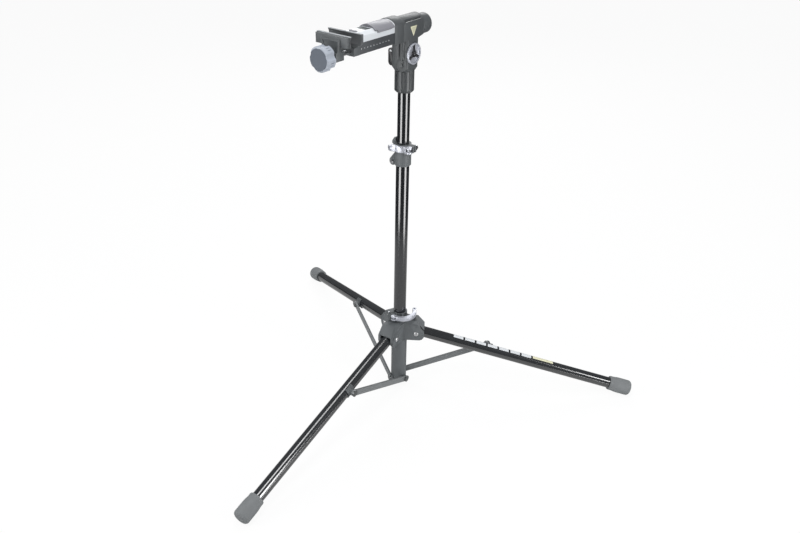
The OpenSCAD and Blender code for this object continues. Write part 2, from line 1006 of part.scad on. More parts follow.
module neck_screws() {
    block_low = neck_top - arm_z;
    color(silver)
        on_arm()
            for (z = neck_screw_up)
                translate([neck_screw_x, -neck_half_d, block_low + z])
                    y_rod(neck_screw_r, -2, neck_screw_in - seat_fit);
}

module lock_lever() {
    t_out = 6.5;
    t_in = 5.5;
    color("#1b1d1f")
        on_arm()
            translate([lock_x, 0, -bolt_drop])
                difference() {
                    union() {
                        intersection() {
                            translate([-t_out, -lock_half_y, -lock_len])
                                cube([t_out + t_in, 2 * lock_half_y, lock_len]);
                            along_x(-t_out, t_in) {
                                translate([0, lock_half_y - lock_len])
                                    circle(lock_half_y);
                                translate([-lock_half_y, lock_half_y - lock_len])
                                    square([2 * lock_half_y, lock_len]);
                            }
                        }
                        y_rod(lock_cam_r - 0.3, -lock_half_y, lock_half_y);
                    }
                    // Fork that straddles the eye of the cross bolt
                    translate([-20, -4.4, -6])
                        cube([40, 8.8, 40]);
                    y_rod(2.8 + run_fit, -lock_half_y - 1, lock_half_y + 1);
                }
}

module tension_ring() {
    rim = 3.5;
    back = 1.2;
    color(silver)
        on_arm()
            translate([0, 0, -bolt_drop])
                difference() {
                    x_rod(ring_r, ring_x, ring_x + ring_depth);
                    x_rod(ring_r - rim, ring_x + back, ring_x + ring_depth + 1);
                    x_rod(cross_d / 2 + run_fit, ring_x - 1, ring_x + ring_depth);
                }
}

module tension_nut() {
    rim = 3.5;
    back = 1.2;
    spoke_w = 5;
    reach = ring_r - rim - seat_fit;
    color("#25292e")
        on_arm()
            translate([ring_x + back + seat_fit, 0, -bolt_drop])
                difference() {
                    intersection() {
                        along_x(0, ring_depth - back - 0.8) {
                            circle(8);
                            for (a = [90, 210, 330])
                                rotate(a)
                                    translate([0, -spoke_w / 2])
                                        square([reach + 5, spoke_w]);
                        }
                        x_rod(reach, 0, ring_depth);
                    }
                    x_rod(cross_d / 2 + run_fit, -1, ring_depth);
                }
}

// ---- arm ----

module bezel() {
    color(dark_plastic)
        on_arm()
            difference() {
                along_y(bezel_front, bezel_back)
                    intersection() {
                        round_rect([-bezel_half_w, -bezel_low],
                            [bezel_half_w, bezel_arc_r + 4], 3);
                        circle(r = bezel_arc_r, $fn = 96);
                    }
                y_rod(axle_r, bezel_front + 6, bezel_back + 1);
            }
}

module head_axle() {
    color(silver)
        on_arm()
            difference() {
                y_rod(axle_r, bezel_front + 6, axle_end);
                y_rod(4, axle_end - 20, axle_end + 1);
            }
}

module axle_retainer() {
    color(silver)
        on_arm() {
            y_rod(bush_r, axle_end, axle_end + 2.5);
            y_rod(4, axle_end - 20, axle_end + 2.5);
            y_rod(6.5, axle_end + 2.5, axle_end + 6.5);
        }
}

module arm_beam() {
    start = beam_front + block_len + seat_fit;
    color(black_metal)
        on_arm()
            difference() {
                translate([-beam_half, start, -beam_drop])
                    cube([beam_w, bezel_front - start, beam_h]);
                translate([shell_wall - beam_half, start - 1, shell_wall - beam_drop])
                    cube([beam_w - 2 * shell_wall, beam_len + 2, beam_h]);
            }
}

module guide_block() {
    color("#26282b")
        on_arm()
            difference() {
                union() {
                    translate([-beam_half, beam_front, -beam_drop])
                        cube([beam_w, block_len, beam_drop + block_top]);
                    // Raised rear part, as high as the beam
                    translate([-beam_half, scale_front, block_top - 1])
                        cube([beam_w, beam_front + block_len - scale_front,
                            beam_top - block_top + 1]);
                    // Tongue inside the beam
                    translate([-block_half, beam_front + block_len - 1, block_low])
                        cube([2 * block_half, 13, block_top - block_low]);
                }
                translate([0, 0, screw_z])
                    y_rod(screw_r + run_fit, beam_front - 1, beam_front + block_len + 15);
                for (side = [-1, 1])
                    translate([side * rod_off, 0, screw_z])
                        y_rod(rod_r + run_fit, beam_front - 1, beam_front + block_len + 15);
            }
}

// Cross-section of the scale housing, drawn in by a wall
module scale_outline(inset) {
    w = beam_half - inset;
    polygon([
        [-w, scale_low],
        [w, scale_low],
        [w, scale_shoulder - inset / 2],
        [w - 8, scale_top - inset],
        [8 - w, scale_top - inset],
        [-w, scale_shoulder - inset / 2],
    ]);
}

module scale_housing() {
    wall = shell_wall - 0.5;
    color("#e6e9ed")
        on_arm() {
            difference() {
                union() {
                    along_y(scale_front, bezel_front - seat_fit)
                        scale_outline(0);
                    // Raised rim behind the lid
                    along_y(lid_back + 0.4, bezel_front - seat_fit)
                        intersection() {
                            translate([-beam_half, scale_low])
                                square([beam_w, lid_top]);
                            circle(r = lid_arc_r - 0.5, $fn = 96);
                        }
                }
                difference() {
                    translate([0, 0, -0.01])
                        along_y(scale_front + wall, bezel_front - wall)
                            scale_outline(wall);
                    // Floor of the battery bay
                    translate([-beam_half, bay_back - bay.y, scale_low])
                        cube([beam_w, bay.y, bay_floor]);
                }
                // Opening of the battery bay
                translate([-bay.x / 2, bay_back - bay.y, scale_low + bay_floor])
                    cube([bay.x, bay.y, scale_top]);
                // Recess of the display window
                translate([-display.x / 2, display_y - display.y / 2, scale_top - display_t])
                    cube([display.x, display.y, 5]);
                // Hole of the button
                translate([0, button_y, scale_low + 2])
                    linear_extrude(scale_top)
                        round_rect(-button / 2 - [pass_gap, pass_gap],
                            button / 2 + [pass_gap, pass_gap], button.y / 2);
            }
            // Posts of the circuit board
            for (side = [-1, 1])
                translate([side * 14, button_y, scale_top - board_drop])
                    cylinder(r = 1.6, h = board_drop - 1);
        }
}

module display_window() {
    color("#3d464c")
        on_arm()
            translate([seat_fit - display.x / 2, display_y - display.y / 2 + seat_fit,
                scale_top - display_t])
                cube([display.x - 2 * seat_fit, display.y - 2 * seat_fit, display_t - 0.1]);
}

module circuit_board() {
    color("#2f6b45")
        on_arm()
            translate([-board.x / 2, scale_front + 4, scale_top - board_drop - board_t])
                cube([board.x, board.y - 4, board_t]);
}

module batteries() {
    color("#b9a25a")
        on_arm()
            for (side = [-1, 1])
                translate([side * (battery_d / 2 + 0.6), 0,
                    scale_low + bay_floor + battery_d / 2 + 0.05])
                    y_rod(battery_d / 2, bay_back - 5.5 - battery_len, bay_back - 5.5);
}

module battery_lid() {
    inner = lid_arc_r - lid_t;
    color(grey_plastic)
        on_arm()
            difference() {
                union() {
                    along_y(lid_back - lid_len, lid_back)
                        difference() {
                            intersection() {
                                translate([-lid_half, lid_low])
                                    square([2 * lid_half, lid_top]);
                                circle(r = lid_arc_r, $fn = 96);
                            }
                            intersection() {
                                translate([lid_t - lid_half, 0])
                                    square([2 * (lid_half - lid_t), lid_top]);
                                circle(r = inner, $fn = 96);
                            }
                        }
                    // Front end, which closes down to the flat top of the housing
                    along_y(lid_back - lid_len + 0.2, lid_back - lid_len + lid_t)
                        intersection() {
                            translate([0.3 - lid_half, scale_top + pass_gap])
                                square([2 * lid_half - 0.6, lid_top]);
                            circle(r = lid_arc_r - 0.4, $fn = 96);
                        }
                }
                // The side wings are shorter than the top
                for (side = [-1, 1])
                    translate([side * lid_half - 3, lid_back - lid_len - 1, lid_low - 1])
                        cube([6, lid_len - lid_wing.y - lid_wing.x + 1, scale_top - 2 - lid_low]);
                for (side = [-1, 1])
                    translate([side * lid_half - 3, lid_back - lid_wing.x, lid_low - 1])
                        cube([6, lid_wing.x + 1, scale_shoulder - lid_low]);
            }
}

module scale_button() {
    color("#8f9499")
        on_arm()
            translate([0, button_y, scale_top - board_drop + button_travel + 0.4])
                linear_extrude(board_drop - button_travel - 0.4 + button_travel + 0.6)
                    round_rect(-button / 2, button / 2, button.y / 2 - 0.01);
}

module load_cell() {
    color(silver)
        on_arm()
            difference() {
                translate([-6, bezel_front - 84, screw_z + screw_r + 1.5])
                    cube([12, 84, 8]);
                translate([0, bezel_front - 42, screw_z + screw_r + 5.5])
                    x_rod(2.5, -7, 7);
            }
}

// ---- jaws ----

// A pad hollowed on the side that faces the jaws' centre: side 1 is the rear pad
module pad(side) {
    on_arm()
        translate([0, grip_y, grip_z])
            difference() {
                translate([-pad_len / 2, side > 0 ? lip_y : -pad_back, -pad_h / 2])
                    cube([pad_len, pad_back - lip_y, pad_h]);
                x_rod(grip_r, -pad_len, pad_len);
            }
}

module rear_pad() {
    color("#3c4043")
        pad(1);
}

module front_pad() {
    color("#4c5154")
        pad(-1);
}

module rear_jaw() {
    half = pad_len / 2 - 1.5;
    color(dark_plastic)
        on_arm()
            along_y(grip_y + pad_back, grip_y + plate_back)
                polygon([
                    [-half, grip_z + pad_h / 2 - 1.5],
                    [half, grip_z + pad_h / 2 - 1.5],
                    [half, grip_z - pad_h / 2],
                    [beam_half, block_top],
                    [-beam_half, block_top],
                    [-half, grip_z - pad_h / 2],
                ]);
}

module jaw_carriage() {
    half = pad_len / 2 - 1.5;
    frame_t = 5;
    low = grip_z - pad_h / 2;
    color(dark_plastic)
        on_arm()
            difference() {
                union() {
                    // Plate behind the front pad
                    translate([-half, grip_y - plate_back, low])
                        cube([2 * half, plate_t, pad_h - 1.5]);
                    // Neck that joins the plate to the block below it
                    along_y(grip_y - plate_back, grip_y - pad_back)
                        polygon([
                            [-25, low + 2],
                            [25, low + 2],
                            [carriage_half, block_top - 2],
                            [-carriage_half, block_top - 2],
                        ]);
                    // Raised frame on the plate
                    along_y(grip_y - plate_back - frame_t, grip_y - plate_back)
                        difference() {
                            polygon([
                                [-24, grip_z + 3],
                                [24, grip_z + 3],
                                [carriage_half, block_top - 2],
                                [-carriage_half, block_top - 2],
                            ]);
                            polygon([
                                [-20, grip_z],
                                [20, grip_z],
                                [carriage_half - 5, low - 5],
                                [5 - carriage_half, low - 5],
                            ]);
                        }
                    along_y(grip_y - plate_back - frame_t + 2, grip_y - plate_back)
                        polygon([
                            [-21, grip_z + 1],
                            [21, grip_z + 1],
                            [carriage_half - 3, block_top - 2],
                            [3 - carriage_half, block_top - 2],
                        ]);
                    // Block that carries the rods and the screw
                    translate([-carriage_half, carriage_front, -beam_drop - 1.5])
                        cube([2 * carriage_half, carriage_len, beam_drop + 1.5 + block_top]);
                }
                translate([0, 0, screw_z])
                    y_rod(screw_r + run_fit, knob_back, beam_front);
                for (side = [-1, 1])
                    translate([side * rod_off, 0, screw_z])
                        y_rod(rod_r, carriage_front + 4, beam_front);
            }
}

module guide_rods() {
    color(silver)
        on_arm()
            for (side = [-1, 1])
                translate([side * rod_off, 0, screw_z])
                    y_rod(rod_r, carriage_front + 4, rod_back);
}

// The knob is moulded on the head of the clamp screw
module knob() {
    notch_r = 6;
    bevel = 3;
    color("#9aa0a8")
        on_arm()
            translate([0, 0, screw_z]) {
                difference() {
                    translate([0, knob_back, 0])
                        rotate([90, 0, 0])
                            rotate_extrude()
                                polygon([
                                    [0, 0],
                                    [knob_r - 1, 0],
                                    [knob_r, 1],
                                    [knob_r, knob_len - bevel],
                                    [knob_r - bevel, knob_len],
                                    [0, knob_len],
                                ]);
                    along_y(knob_front - 1, knob_back + 1)
                        for (i = [0:knob_lobes - 1])
                            rotate(90 + 360 * i / knob_lobes)
                                translate([knob_r + notch_r / 2, 0])
                                    circle(notch_r);
                }
                y_rod(11, knob_back - 1, carriage_front - pass_gap);
                y_rod(screw_r, knob_back - 1, screw_back);
            }
}

main_tube();
lower_sleeve();
bottom_plug();
strut_pins();
collar_body();
collar_bolt();
collar_skewer();
collar_washer();
collar_lever();
hub_body();
hub_pins();
hub_skewer();
hub_lever();
leg_tube(0);  // leg_tube_front
leg_tube(1);  // leg_tube_right
leg_tube(2);  // leg_tube_rear
leg_eye(0);  // leg_eye_front
leg_eye(1);  // leg_eye_right
leg_eye(2);  // leg_eye_rear
foot(0);  // foot_front
foot(1);  // foot_right
foot(2);  // foot_rear
leg_bracket(0);  // leg_bracket_front
leg_bracket(1);  // leg_bracket_right
leg_bracket(2);  // leg_bracket_rear
strut(0);  // strut_front
strut(1);  // strut_right
strut(2);  // strut_rear
strut_bolt(0);  // strut_bolt_front
strut_bolt(1);  // strut_bolt_right
strut_bolt(2);  // strut_bolt_rear
slide_bush();
upper_tube();
neck_sleeve();
head_housing();
rear_cap();
axle_bushes();
cross_bolt();
neck_screws();
lock_lever();
tension_ring();
tension_nut();
bezel();
head_axle();
axle_retainer();
arm_beam();
guide_block();
scale_housing();
display_window();
rear_jaw();
rear_pad();
load_cell();
circuit_board();
batteries();
battery_lid();
scale_button();
jaw_carriage();
front_pad();
guide_rods();
knob();
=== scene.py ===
"""Folding bicycle repair stand: finishes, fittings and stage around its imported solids."""
import json
import math
from contextlib import contextmanager

import bmesh
import bpy
from mathutils import Matrix, Vector


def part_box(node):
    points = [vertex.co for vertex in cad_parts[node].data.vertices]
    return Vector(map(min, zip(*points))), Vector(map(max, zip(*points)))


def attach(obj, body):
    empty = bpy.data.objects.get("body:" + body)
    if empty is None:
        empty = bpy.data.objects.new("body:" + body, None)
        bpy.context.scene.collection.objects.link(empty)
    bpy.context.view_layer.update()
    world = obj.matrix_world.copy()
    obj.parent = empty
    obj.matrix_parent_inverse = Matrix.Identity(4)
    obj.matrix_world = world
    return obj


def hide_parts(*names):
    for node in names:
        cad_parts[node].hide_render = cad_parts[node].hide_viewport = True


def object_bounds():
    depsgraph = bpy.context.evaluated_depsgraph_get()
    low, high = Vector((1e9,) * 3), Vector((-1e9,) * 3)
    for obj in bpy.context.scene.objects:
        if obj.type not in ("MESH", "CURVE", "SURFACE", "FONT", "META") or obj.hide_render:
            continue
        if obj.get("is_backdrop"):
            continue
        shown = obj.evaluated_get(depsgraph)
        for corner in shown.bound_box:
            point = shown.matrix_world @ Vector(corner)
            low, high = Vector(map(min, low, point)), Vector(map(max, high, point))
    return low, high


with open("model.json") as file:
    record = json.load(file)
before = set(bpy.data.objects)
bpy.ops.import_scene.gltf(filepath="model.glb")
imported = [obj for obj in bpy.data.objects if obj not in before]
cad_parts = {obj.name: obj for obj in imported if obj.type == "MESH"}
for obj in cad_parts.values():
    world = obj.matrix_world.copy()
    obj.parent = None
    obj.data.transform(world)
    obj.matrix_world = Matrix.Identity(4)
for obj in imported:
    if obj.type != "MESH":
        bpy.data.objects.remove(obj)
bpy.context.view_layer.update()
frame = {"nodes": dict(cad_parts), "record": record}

bl_info = {
    "name": "Bicycle Repair Stand",
    "version": (1, 0, 0),
    "blender": (4, 5, 0),
    "location": "View3D > Sidebar > Repair Stand",
    "description": "Dresses the solids of a folding bicycle repair stand",
    "category": "Object",
}

NODES = frame["nodes"]
RECORD = frame["record"]
MM = 0.001
LEGS = ("front", "right", "rear")
LEG_SLOPE = math.radians(15.1)
LEG_RADIUS = 14.5 * MM
JOINTS = {joint["name"]: joint for joint in RECORD["behaviour"]["joints"]}
SLOT_OF = {part["node"]: part["material_slot"] for part in RECORD["subparts"]}
BODY_OF = {
    node: body for body, nodes in RECORD["behaviour"]["bodies"].items() for node in nodes
}
X, Y, Z = Vector((1, 0, 0)), Vector((0, 1, 0)), Vector((0, 0, 1))


# ---- sizes and colours that a user may change ----

def colour(name, description, value):
    return bpy.props.FloatVectorProperty(
        name=name, description=description, default=value, subtype="COLOR", size=3, min=0, max=1)


def length(name, description, value):
    return bpy.props.FloatProperty(
        name=name, description=description, default=value, unit="LENGTH", min=0, precision=4)


class StandColours(bpy.types.PropertyGroup):
    """Colours of the stand's finishes."""
    tube: colour("Tubes", "Black anodised tubes", (0.010, 0.011, 0.013))
    beam: colour("Beam", "Satin anodised clamp beam", (0.046, 0.050, 0.054))
    moulding: colour("Mouldings", "Dark grey nylon mouldings", (0.082, 0.089, 0.093))
    black: colour("Black plastic", "Levers and nuts moulded in black", (0.012, 0.012, 0.014))
    silver: colour("Silver levers", "Forged and anodised levers", (0.52, 0.535, 0.59))
    steel: colour("Plated steel", "Bolts, pins and rods", (0.62, 0.63, 0.65))
    dull: colour("Dull steel", "Heads of the strut bolts", (0.16, 0.168, 0.172))
    strut: colour("Struts", "Painted strut strips", (0.185, 0.195, 0.200))
    foot: colour("Feet", "Rubber feet", (0.195, 0.205, 0.210))
    pad: colour("Jaw rubber", "Rubber of the jaw pads", (0.085, 0.090, 0.094))
    shell: colour("Scale housing", "Pale moulded shell of the scale", (0.66, 0.685, 0.71))
    lid: colour("Battery cover", "Violet-grey battery cover", (0.20, 0.20, 0.22))
    wheel_rim: colour("Hand wheel", "Light moulded rim of the hand wheel", (0.34, 0.37, 0.42))
    wheel_face: colour("Hand wheel face", "Darker face of the hand wheel", (0.085, 0.10, 0.125))
    marking: colour("Markings", "Pale marks and bare badge", (0.72, 0.70, 0.50))


class StandSizes(bpy.types.PropertyGroup):
    """Sizes of the stand's fine details."""
    edge: length("Edge rounding", "Radius on the edges of the mouldings", 0.9 * MM)
    mark: length("Mark size", "Length of one mark on the beam", 1.8 * MM)
    mark_count: bpy.props.IntProperty(
        name="Marks", description="Number of marks along the beam", default=10, min=2, max=30)
    flutes: bpy.props.IntProperty(
        name="Flutes", description="Flutes around the neck sleeve", default=10, min=4, max=24)
    lobe_depth: length("Lobe depth", "Depth between the lobes of the hand wheel", 4.2 * MM)
    stripe_count: bpy.props.IntProperty(
        name="Leg stripes", description="Plain stripes along the right leg", default=7, min=2,
        max=12)


def colours():
    return bpy.context.scene.stand_colours


def sizes():
    return bpy.context.scene.stand_sizes


# ---- surfaces ----

class Field:
    """A value that varies over a surface, with arithmetic."""

    def __init__(self, surface, socket):
        self.surface = surface
        self.socket = socket

    def _math(self, operation, *values):
        return self.surface.add(
            "ShaderNodeMath", {"operation": operation}, dict(enumerate(values)))

    def __add__(self, other):
        return self._math("ADD", self, other)

    def __sub__(self, other):
        return self._math("SUBTRACT", self, other)

    def __rsub__(self, other):
        return self._math("SUBTRACT", other, self)

    def __mul__(self, other):
        return self._math("MULTIPLY", self, other)

    def __gt__(self, other):
        return self._math("GREATER_THAN", self, other)

    def power(self, exponent):
        return self._math("POWER", self, exponent)

    def clamp(self):
        return self._math("MINIMUM", self._math("MAXIMUM", self, 0.0), 1.0)

    def near(self, value, reach):
        """1 within reach of a value, 0 elsewhere."""
        return self._math("COMPARE", self, value, reach)

    def angle_to(self, across):
        """The bearing of a place from its two distances."""
        return self._math("ARCTAN2", self, across)

    def ramp(self, low, high):
        """Rises smoothly from 0 to 1 between two values."""
        return self.surface.add(
            "ShaderNodeMapRange", {"interpolation_type": "SMOOTHSTEP"},
            {0: self, 1: low, 2: high})


class Surface:
    """One material, or the surroundings, under construction."""
    output_kind = "ShaderNodeOutputMaterial"

    def __init__(self, name):
        self.material = self.empty(name)
        self.material.use_nodes = True
        self.tree = self.material.node_tree
        self.tree.nodes.clear()

    def empty(self, name):
        """The data block that holds the shader."""
        return bpy.data.materials.new(name)

    def add(self, kind, settings=None, values=None, out=0):
        """Adds a node with its settings, then the values or links of its inputs."""
        node = self.tree.nodes.new(kind)
        for name, setting in (settings or {}).items():
            if name == "stops":
                ramp = node.color_ramp
                while len(ramp.elements) < len(setting):
                    ramp.elements.new(1.0)
                for element, (place, shade) in zip(ramp.elements, setting):
                    element.position = place
                    element.color = (*shade, 1.0)
            else:
                setattr(node, name, setting)
        for key, value in (values or {}).items():
            socket = node.inputs[key]
            if isinstance(value, Field):
                self.tree.links.new(value.socket, socket)
            elif socket.type == "RGBA" and len(value) == 3:
                socket.default_value = (*value, 1.0)
            else:
                socket.default_value = value
        return Field(self, node.outputs[out])

    def place(self):
        """Places measured in the stand's own frame."""
        return self.add("ShaderNodeTexCoord", out="Object")

    def axis(self, name):
        """One coordinate of the place: X, Y or Z."""
        return self.add("ShaderNodeSeparateXYZ", None, {0: self.place()}, out=name)

    def noise(self, scale, detail, rough):
        return self.add("ShaderNodeTexNoise", None, {
            "Vector": self.place(), "Scale": scale, "Detail": detail, "Roughness": rough})

    def mix(self, factor, first, second):
        return self.add("ShaderNodeMix", {"data_type": "RGBA"}, {
            0: factor, 6: first, 7: second}, out=2)

    def bump(self, height, strength, depth, below=None):
        values = {"Strength": strength, "Distance": depth, "Height": height}
        if below:
            values["Normal"] = below
        return self.add("ShaderNodeBump", None, values)

    def soft_edges(self, radius):
        """A normal that runs round sharp edges."""
        return self.add("ShaderNodeBevel", {"samples": 4}, {"Radius": radius})

    def finish(self, **inputs):
        """Closes the material with a Principled shader."""
        values = {name.replace("_", " "): value for name, value in inputs.items()}
        shader = self.add("ShaderNodeBsdfPrincipled", None, values, out="BSDF")
        return self.output(shader)

    def output(self, shader):
        """Sends a shader to the output."""
        node = self.tree.nodes.new(self.output_kind)
        self.tree.links.new(shader.socket, node.inputs["Surface"])
        return self.material


class Surroundings(Surface):
    """The light and colour around the stand."""
    output_kind = "ShaderNodeOutputWorld"

    def empty(self, name):
        return bpy.data.worlds.new(name)


def shade(base, factor):
    """A lighter or darker colour of the same hue."""
    return tuple(min(1.0, channel * factor) for channel in base)


def anodised_tube(name, sheen):
    """Glossy black anodised aluminium with a faint haze and fine handling scratches."""
    surface = Surface(name)
    base = tuple(colours().tube)
    haze = surface.noise(14, 3, 0.6)
    grain = surface.noise(260, 3, 0.5)
    tone = surface.mix(haze, shade(base, 0.8), shade(base, 1.4))
    return surface.finish(
        Base_Color=tone, Roughness=(grain * 0.05 + haze * 0.04 + 0.10).clamp(), IOR=sheen,
        Normal=surface.bump(grain, 0.012, 0.0001))


def moulded(name, base, roughness=0.46, grain=0.22, edge=0.7 * MM):
    """Spark-textured nylon: a fine grain, flow shading and paler rubbed patches."""
    surface = Surface(name)
    flow = surface.noise(16, 3, 0.55)
    speckle = surface.noise(1500, 2, 0.6)
    rubs = ((surface.noise(55, 5, 0.7) - 0.58) * 3.0).clamp()
    tone = surface.mix(flow, shade(base, 0.88), shade(base, 1.12))
    tone = surface.mix(speckle * 0.35, tone, shade(base, 1.35))
    tone = surface.mix(rubs * 0.35, tone, shade(base, 1.5))
    return surface.finish(
        Base_Color=tone,
        Roughness=(flow * 0.08 + speckle * 0.08 - rubs * 0.08 + roughness).clamp(),
        Normal=surface.bump(speckle, grain, 0.0002, surface.soft_edges(edge)))


def glossy_shell(name, base, roughness=0.30):
    """Smooth moulded shell with a faint orange peel and handling marks."""
    surface = Surface(name)
    peel = surface.noise(260, 2, 0.5)
    flow = surface.noise(12, 3, 0.5)
    smear = ((surface.noise(40, 4, 0.65) - 0.55) * 3.0).clamp()
    tone = surface.mix(flow, shade(base, 0.96), shade(base, 1.04))
    tone = surface.mix(smear * 0.12, tone, shade(base, 0.82))
    return surface.finish(
        Base_Color=tone, Roughness=(smear * 0.14 + flow * 0.05 + roughness).clamp(),
        Normal=surface.bump(peel, 0.06, 0.0002, surface.soft_edges(0.6 * MM)))


def rubber(name, base, painted_highlight_height=None):
    """Dull rubber with dust in its pores, and with a painted highlight that makes its top pale
    above a height.
    """
    surface = Surface(name)
    pores = surface.noise(1100, 3, 0.7)
    dust = ((surface.noise(32, 5, 0.7) - 0.45) * 2.2).clamp()
    tone = surface.mix(dust * 0.5, shade(base, 0.9), shade(base, 1.35))
    if painted_highlight_height:
        # Painted highlight: above this height the rubber is drawn far paler, as if lit from above.
        painted_lip_highlight = surface.axis("Z").ramp(painted_highlight_height - 0.3 * MM, painted_highlight_height + 0.1 * MM)
        tone = surface.mix(painted_lip_highlight, tone, shade(base, 3.6))
    tone = surface.mix(pores * 0.3, tone, shade(base, 0.7))
    return surface.finish(
        Base_Color=tone, Roughness=(dust * 0.12 + 0.66).clamp(),
        Normal=surface.bump(pores, 0.3, 0.0003, surface.soft_edges(0.8 * MM)))


def plated_steel(name, base):
    """Zinc-plated steel with turning marks and a cloudy bloom."""
    surface = Surface(name)
    turned_marks = surface.noise(1300, 3, 0.6)
    bloom = surface.noise(70, 4, 0.6)
    tone = surface.mix(bloom, shade(base, 0.82), shade(base, 1.1))
    return surface.finish(
        Base_Color=tone, Metallic=1.0, Roughness=(bloom * 0.2 + 0.2).clamp(),
        Normal=surface.bump(turned_marks, 0.08, 0.0001, surface.soft_edges(0.4 * MM)))


def forged_silver():
    """Blasted and anodised aluminium forging."""
    surface = Surface("forged silver")
    base = tuple(colours().silver)
    blast = surface.noise(1700, 2, 0.6)
    cloud = surface.noise(45, 4, 0.6)
    tone = surface.mix(cloud, shade(base, 0.88), shade(base, 1.08))
    return surface.finish(
        Base_Color=tone, Metallic=0.55, Roughness=(cloud * 0.14 + 0.34).clamp(),
        Normal=surface.bump(blast, 0.16, 0.0002, surface.soft_edges(0.8 * MM)))


def painted_strip():
    """Powder-coated steel strip with a leather-like coat and a few chips."""
    surface = Surface("painted strip")
    base = tuple(colours().strut)
    coat = surface.noise(620, 2, 0.5)
    chips = (surface.noise(240, 4, 0.8) > 0.73)
    flow = surface.noise(20, 3, 0.5)
    tone = surface.mix(flow, shade(base, 0.9), shade(base, 1.1))
    tone = surface.mix(chips * 0.6, tone, (0.33, 0.33, 0.34))
    return surface.finish(
        Base_Color=tone, Metallic=0.15, Roughness=(flow * 0.1 + 0.38).clamp(),
        Normal=surface.bump(coat, 0.15, 0.0002, surface.soft_edges(0.6 * MM)))


def bearing(name, base, metallic):
    """Porous plastic or sintered metal of a plain bush."""
    surface = Surface(name)
    pores = surface.noise(900, 3, 0.6)
    tone = surface.mix(pores, shade(base, 0.8), shade(base, 1.1))
    return surface.finish(
        Base_Color=tone, Metallic=metallic, Roughness=(pores * 0.15 + 0.35).clamp(),
        Normal=surface.bump(pores, 0.12, 0.0002))


def dark_glass():
    """Display window: a grey-green liquid crystal under a dull lens."""
    surface = Surface("display glass")
    across = surface.noise(90, 2, 0.5)
    tone = surface.mix(across, (0.035, 0.044, 0.046), (0.060, 0.072, 0.072))
    return surface.finish(
        Base_Color=tone, Roughness=(across * 0.1 + 0.45).clamp(), Specular_IOR_Level=0.12)


def printed(name, base):
    """Flat printed ink, a little uneven."""
    surface = Surface(name)
    ink = surface.noise(700, 3, 0.6)
    tone = surface.mix(ink, shade(base, 0.88), shade(base, 1.05))
    return surface.finish(
        Base_Color=tone, Roughness=(ink * 0.1 + 0.36).clamp(),
        Normal=surface.bump(ink, 0.05, 0.0001))


FINISHES = {}
# Solids whose finish differs from the rest of their slot
OWN_FINISH = {
    "hub_body": "hub_nylon", "lower_sleeve": "hub_nylon", "collar_body": "hub_nylon",
    "head_housing": "head_nylon", "rear_cap": "head_nylon", "bezel": "head_nylon",
    "arm_beam": "satin_beam", "strut_pins": "dull_steel", "neck_screws": "dull_steel",
    **{f"leg_tube_{leg}": "leg_tube" for leg in LEGS},
    **{f"strut_bolt_{leg}": "dull_steel" for leg in LEGS},
}


def make_finishes():
    """One material for each of the record's slots, and a few for new pieces."""
    own = colours()
    moulding, marking = tuple(own.moulding), tuple(own.marking)
    # The jaw rubber is drawn paler above this height as a painted highlight.
    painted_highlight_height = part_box("front_pad")[1][2] - 0.7 * MM
    FINISHES.update({
        "tube_black": anodised_tube("anodised tube", 1.95),
        "leg_tube": anodised_tube("anodised leg tube", 2.25),
        "satin_beam": moulded("satin beam", tuple(own.beam), 0.40, 0.08),
        "dark_plastic": moulded("dark nylon", moulding),
        "hub_nylon": moulded("hub nylon", shade(moulding, 1.28), 0.48),
        "head_nylon": moulded("head nylon", shade(moulding, 0.76), 0.40, 0.18),
        "sleeve_nylon": moulded("sleeve nylon", shade(moulding, 0.62), 0.36, 0.12),
        "foot_rubber": rubber("foot rubber", tuple(own.foot)),
        "strut_metal": painted_strip(),
        "bolt_steel": plated_steel("plated steel", tuple(own.steel)),
        "dull_steel": plated_steel("dull steel", tuple(own.dull)),
        "pin_steel": plated_steel("polished pin steel", (0.92, 0.92, 0.93)),
        "lever_silver": forged_silver(),
        "black_plastic": moulded("black nylon", tuple(own.black), 0.32, 0.12),
        "bush_plastic": bearing("bearing plastic", (0.72, 0.72, 0.66), 0.0),
        "bush_bronze": bearing("sintered bronze", (0.50, 0.36, 0.20), 0.9),
        "scale_white": glossy_shell("pale shell", tuple(own.shell)),
        "lid_grey": moulded("violet-grey nylon", tuple(own.lid), 0.38, 0.12),
        "window_dark": dark_glass(),
        "pad_rubber": rubber("jaw rubber", tuple(own.pad), painted_highlight_height),
        "board_green": moulded("circuit board", (0.02, 0.12, 0.06), 0.35, 0.1),
        "cell_jacket": printed("cell jacket", (0.42, 0.28, 0.05)),
        "knob_grey": moulded("pale blue-grey nylon", tuple(own.wheel_rim), 0.42, 0.15),
        "wheel_face": moulded("slate nylon", tuple(own.wheel_face), 0.42, 0.15),
        "marking": printed("pale print", (0.66, 0.68, 0.70)),
        "badge": printed("bare badge", marking),
        "badge_field": printed("badge field", shade(marking, 0.72)),
    })


# ---- modelling ----

def deselect():
    bpy.ops.object.select_all(action="DESELECT")


def activate(piece):
    """Makes one piece the only selected and active one."""
    deselect()
    piece.select_set(True)
    bpy.context.view_layer.objects.active = piece


def fix_place(name):
    """Names the new primitive and moves its place into its mesh."""
    piece = bpy.context.object
    piece.name = name
    piece.data.name = name
    bpy.ops.object.transform_apply(location=True, rotation=True, scale=True)
    return piece


def block(name, low, high):
    """A box between two corners."""
    deselect()
    low, high = Vector(low), Vector(high)
    bpy.ops.mesh.primitive_cube_add(size=1, location=(low + high) / 2, scale=high - low)
    return fix_place(name)


@contextmanager
def editing(piece, mode="FACE"):
    """Edit mode on one piece, with faces, edges or vertices to select."""
    activate(piece)
    bpy.ops.object.mode_set(mode="EDIT")
    bpy.ops.mesh.select_mode(type=mode)
    yield
    bpy.ops.object.mode_set(mode="OBJECT")


